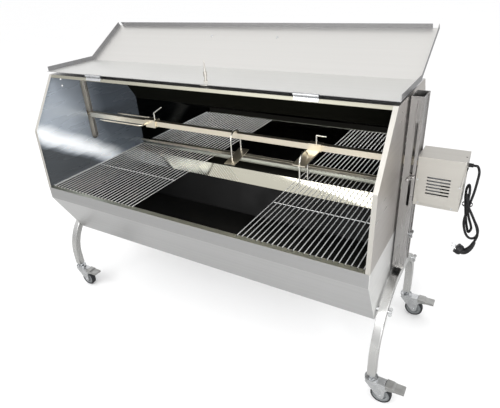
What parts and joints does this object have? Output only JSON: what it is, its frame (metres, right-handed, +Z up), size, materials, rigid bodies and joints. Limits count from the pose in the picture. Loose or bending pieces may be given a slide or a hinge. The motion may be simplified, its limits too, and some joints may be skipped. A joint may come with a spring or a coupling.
{
  "type": "rotisserie spit roaster",
  "caption": "Charcoal rotisserie: a folded steel firebox and hood on castors, with a fold-back lid, lift-out grills and a motor driven spit whose height slides on columns at the ends.",
  "frame": {"origin": "on the floor under the middle of the cabinet", "axes": "+X along the spit towards the motor, -Y is the open front, +Z is up"},
  "size_m": [2.0116, 0.638, 1.2272],
  "materials": {
    "sheet_steel": "fine brushed, mirror bright inside",
    "column_steel": "fine brushed",
    "tube_steel": "polished",
    "zinc": "bright zinc",
    "wheel_rubber": "matt",
    "tray_black": "heat resistant black",
    "wire_steel": "bright wire",
    "housing_steel": "satin",
    "motor_grey": "cast",
    "black_plastic": "fine grain",
    "cable_rubber": "satin",
    "bronze": "machined",
    "spit_steel": "satin"
  },
  "bodies": {
    "cabinet": {"firebox_shell": "sheet_steel", "firebox_end_left": "sheet_steel", "firebox_end_right": "sheet_steel", "tray_rests": "tray_black", "hood_shell": "sheet_steel", "hood_side_left": "sheet_steel", "hood_side_right": "sheet_steel", "top_bar": "sheet_steel", "rear_rail": "sheet_steel", "column_left": "column_steel", "column_right": "column_steel", "column_bolts": "zinc", "slide_lock_bolts": "zinc", "leg_front_left": "tube_steel", "leg_front_right": "tube_steel", "leg_rear_left": "tube_steel", "leg_rear_right": "tube_steel", "leg_wing_bolts": "zinc", "lid_hinge_leaves": "zinc", "lid_hinge_pins": "zinc"},
    "lid": {"lid_shell": "sheet_steel", "lid_hinge_flaps": "zinc", "lid_handle": "black_plastic", "lid_handle_screws": "zinc", "thermometer": "housing_steel"},
    "tray": {"charcoal_tray": "tray_black"},
    "left_grill": {"grill_left": "wire_steel"},
    "right_grill": {"grill_right": "wire_steel"},
    "motor_carriage": {"motor_slide": "column_steel", "motor_housing": "housing_steel", "gear_motor": "motor_grey", "motor_screws": "zinc", "cable_gland": "black_plastic", "power_cable": "cable_rubber", "power_plug": "black_plastic"},
    "switch": {"power_switch": "black_plastic"},
    "bearing_carriage": {"bearing_slide": "column_steel", "spit_bearing": "bronze"},
    "spit": {"drive_socket": "spit_steel", "spit_bar": "spit_steel"},
    "fork": {"meat_fork": "spit_steel"},
    "fork_screw": {"fork_thumbscrew": "spit_steel"},
    "inner_brace": {"brace_inner": "spit_steel", "brace_inner_ubolt": "spit_steel"},
    "outer_brace": {"brace_outer": "spit_steel", "brace_outer_ubolt": "spit_steel"},
    "outer_screw": {"brace_outer_thumbscrew": "spit_steel"},
    "castor_front_left": {"castor_fork_front_left": "zinc"},
    "wheel_front_left": {"castor_wheel_front_left": "wheel_rubber"},
    "pedal_front_left": {"castor_pedal_front_left": "zinc"},
    "castor_front_right": {"castor_fork_front_right": "zinc"},
    "wheel_front_right": {"castor_wheel_front_right": "wheel_rubber"},
    "pedal_front_right": {"castor_pedal_front_right": "zinc"},
    "castor_rear_left": {"castor_fork_rear_left": "zinc"},
    "wheel_rear_left": {"castor_wheel_rear_left": "wheel_rubber"},
    "pedal_rear_left": {"castor_pedal_rear_left": "zinc"},
    "castor_rear_right": {"castor_fork_rear_right": "zinc"},
    "wheel_rear_right": {"castor_wheel_rear_right": "wheel_rubber"},
    "pedal_rear_right": {"castor_pedal_rear_right": "zinc"}
  },
  "joints": [
    {"name": "lid_hinge", "type": "hinge", "parent": "cabinet", "child": "lid", "pos_m": [0, -0.168, 1.0777], "axis": [1, 0, 0], "range_deg": [0, 236]},
    {"name": "tray_lift", "type": "slide", "parent": "cabinet", "child": "tray", "axis": [0, 0, 1], "range_m": [0, 0.1]},
    {"name": "left_grill_lift", "type": "slide", "parent": "cabinet", "child": "left_grill", "axis": [0, 0, 1], "range_m": [0, 0.08]},
    {"name": "right_grill_lift", "type": "slide", "parent": "cabinet", "child": "right_grill", "axis": [0, 0, 1], "range_m": [0, 0.08]},
    {"name": "motor_height", "type": "slide", "parent": "cabinet", "child": "motor_carriage", "axis": [0, 0, 1], "range_m": [-0.1, 0.07]},
    {"name": "bearing_height", "type": "slide", "parent": "cabinet", "child": "bearing_carriage", "axis": [0, 0, 1], "range_m": [-0.1, 0.07]},
    {"name": "power_rocker", "type": "hinge", "parent": "motor_carriage", "child": "switch", "pos_m": [0.9345, -0.014, 0.842], "axis": [0, 1, 0], "range_deg": [-16, 0]},
    {"name": "spit_spin", "type": "hinge", "parent": "motor_carriage", "child": "spit", "pos_m": [0, 0, 0.846], "axis": [1, 0, 0], "continuous": true},
    {"name": "fork_slide", "type": "slide", "parent": "spit", "child": "fork", "axis": [1, 0, 0], "range_m": [-0.08, 0.25]},
    {"name": "fork_screw_turn", "type": "hinge", "parent": "fork", "child": "fork_screw", "pos_m": [-0.33, 0, 0.846], "axis": [0, 0, 1], "range_deg": [0, 180]},
    {"name": "inner_brace_slide", "type": "slide", "parent": "spit", "child": "inner_brace", "axis": [1, 0, 0], "range_m": [-0.06, 0.2]},
    {"name": "outer_brace_slide", "type": "slide", "parent": "spit", "child": "outer_brace", "axis": [1, 0, 0], "range_m": [-0.06, 0.2]},
    {"name": "outer_screw_turn", "type": "hinge", "parent": "outer_brace", "child": "outer_screw", "pos_m": [0.437, 0, 0.846], "axis": [0, 0, 1], "range_deg": [0, 180]},
    {"name": "swivel_front_left", "type": "hinge", "parent": "cabinet", "child": "castor_front_left", "pos_m": [-0.772, -0.259, 0.1], "axis": [0, 0, 1], "continuous": true},
    {"name": "roll_front_left", "type": "hinge", "parent": "castor_front_left", "child": "wheel_front_left", "pos_m": [-0.732, -0.259, 0.0375], "axis": [0, 1, 0], "continuous": true},
    {"name": "brake_front_left", "type": "hinge", "parent": "castor_front_left", "child": "pedal_front_left", "pos_m": [-0.71, -0.259, 0.086], "axis": [0, 1, 0], "range_deg": [0, 14]},
    {"name": "swivel_front_right", "type": "hinge", "parent": "cabinet", "child": "castor_front_right", "pos_m": [0.772, -0.259, 0.1], "axis": [0, 0, 1], "continuous": true},
    {"name": "roll_front_right", "type": "hinge", "parent": "castor_front_right", "child": "wheel_front_right", "pos_m": [0.812, -0.259, 0.0375], "axis": [0, 1, 0], "continuous": true},
    {"name": "brake_front_right", "type": "hinge", "parent": "castor_front_right", "child": "pedal_front_right", "pos_m": [0.834, -0.259, 0.086], "axis": [0, 1, 0], "range_deg": [0, 14]},
    {"name": "swivel_rear_left", "type": "hinge", "parent": "cabinet", "child": "castor_rear_left", "pos_m": [-0.772, 0.259, 0.1], "axis": [0, 0, 1], "continuous": true},
    {"name": "roll_rear_left", "type": "hinge", "parent": "castor_rear_left", "child": "wheel_rear_left", "pos_m": [-0.732, 0.259, 0.0375], "axis": [0, 1, 0], "continuous": true},
    {"name": "brake_rear_left", "type": "hinge", "parent": "castor_rear_left", "child": "pedal_rear_left", "pos_m": [-0.71, 0.259, 0.086], "axis": [0, 1, 0], "range_deg": [0, 14]},
    {"name": "swivel_rear_right", "type": "hinge", "parent": "cabinet", "child": "castor_rear_right", "pos_m": [0.772, 0.259, 0.1], "axis": [0, 0, 1], "continuous": true},
    {"name": "roll_rear_right", "type": "hinge", "parent": "castor_rear_right", "child": "wheel_rear_right", "pos_m": [0.812, 0.259, 0.0375], "axis": [0, 1, 0], "continuous": true},
    {"name": "brake_rear_right", "type": "hinge", "parent": "castor_rear_right", "child": "pedal_rear_right", "pos_m": [0.834, 0.259, 0.086], "axis": [0, 1, 0], "range_deg": [0, 14]}
  ],
  "couplings": [
    {"joint": "bearing_height", "follows": "motor_height", "ratio": 1}
  ]
}
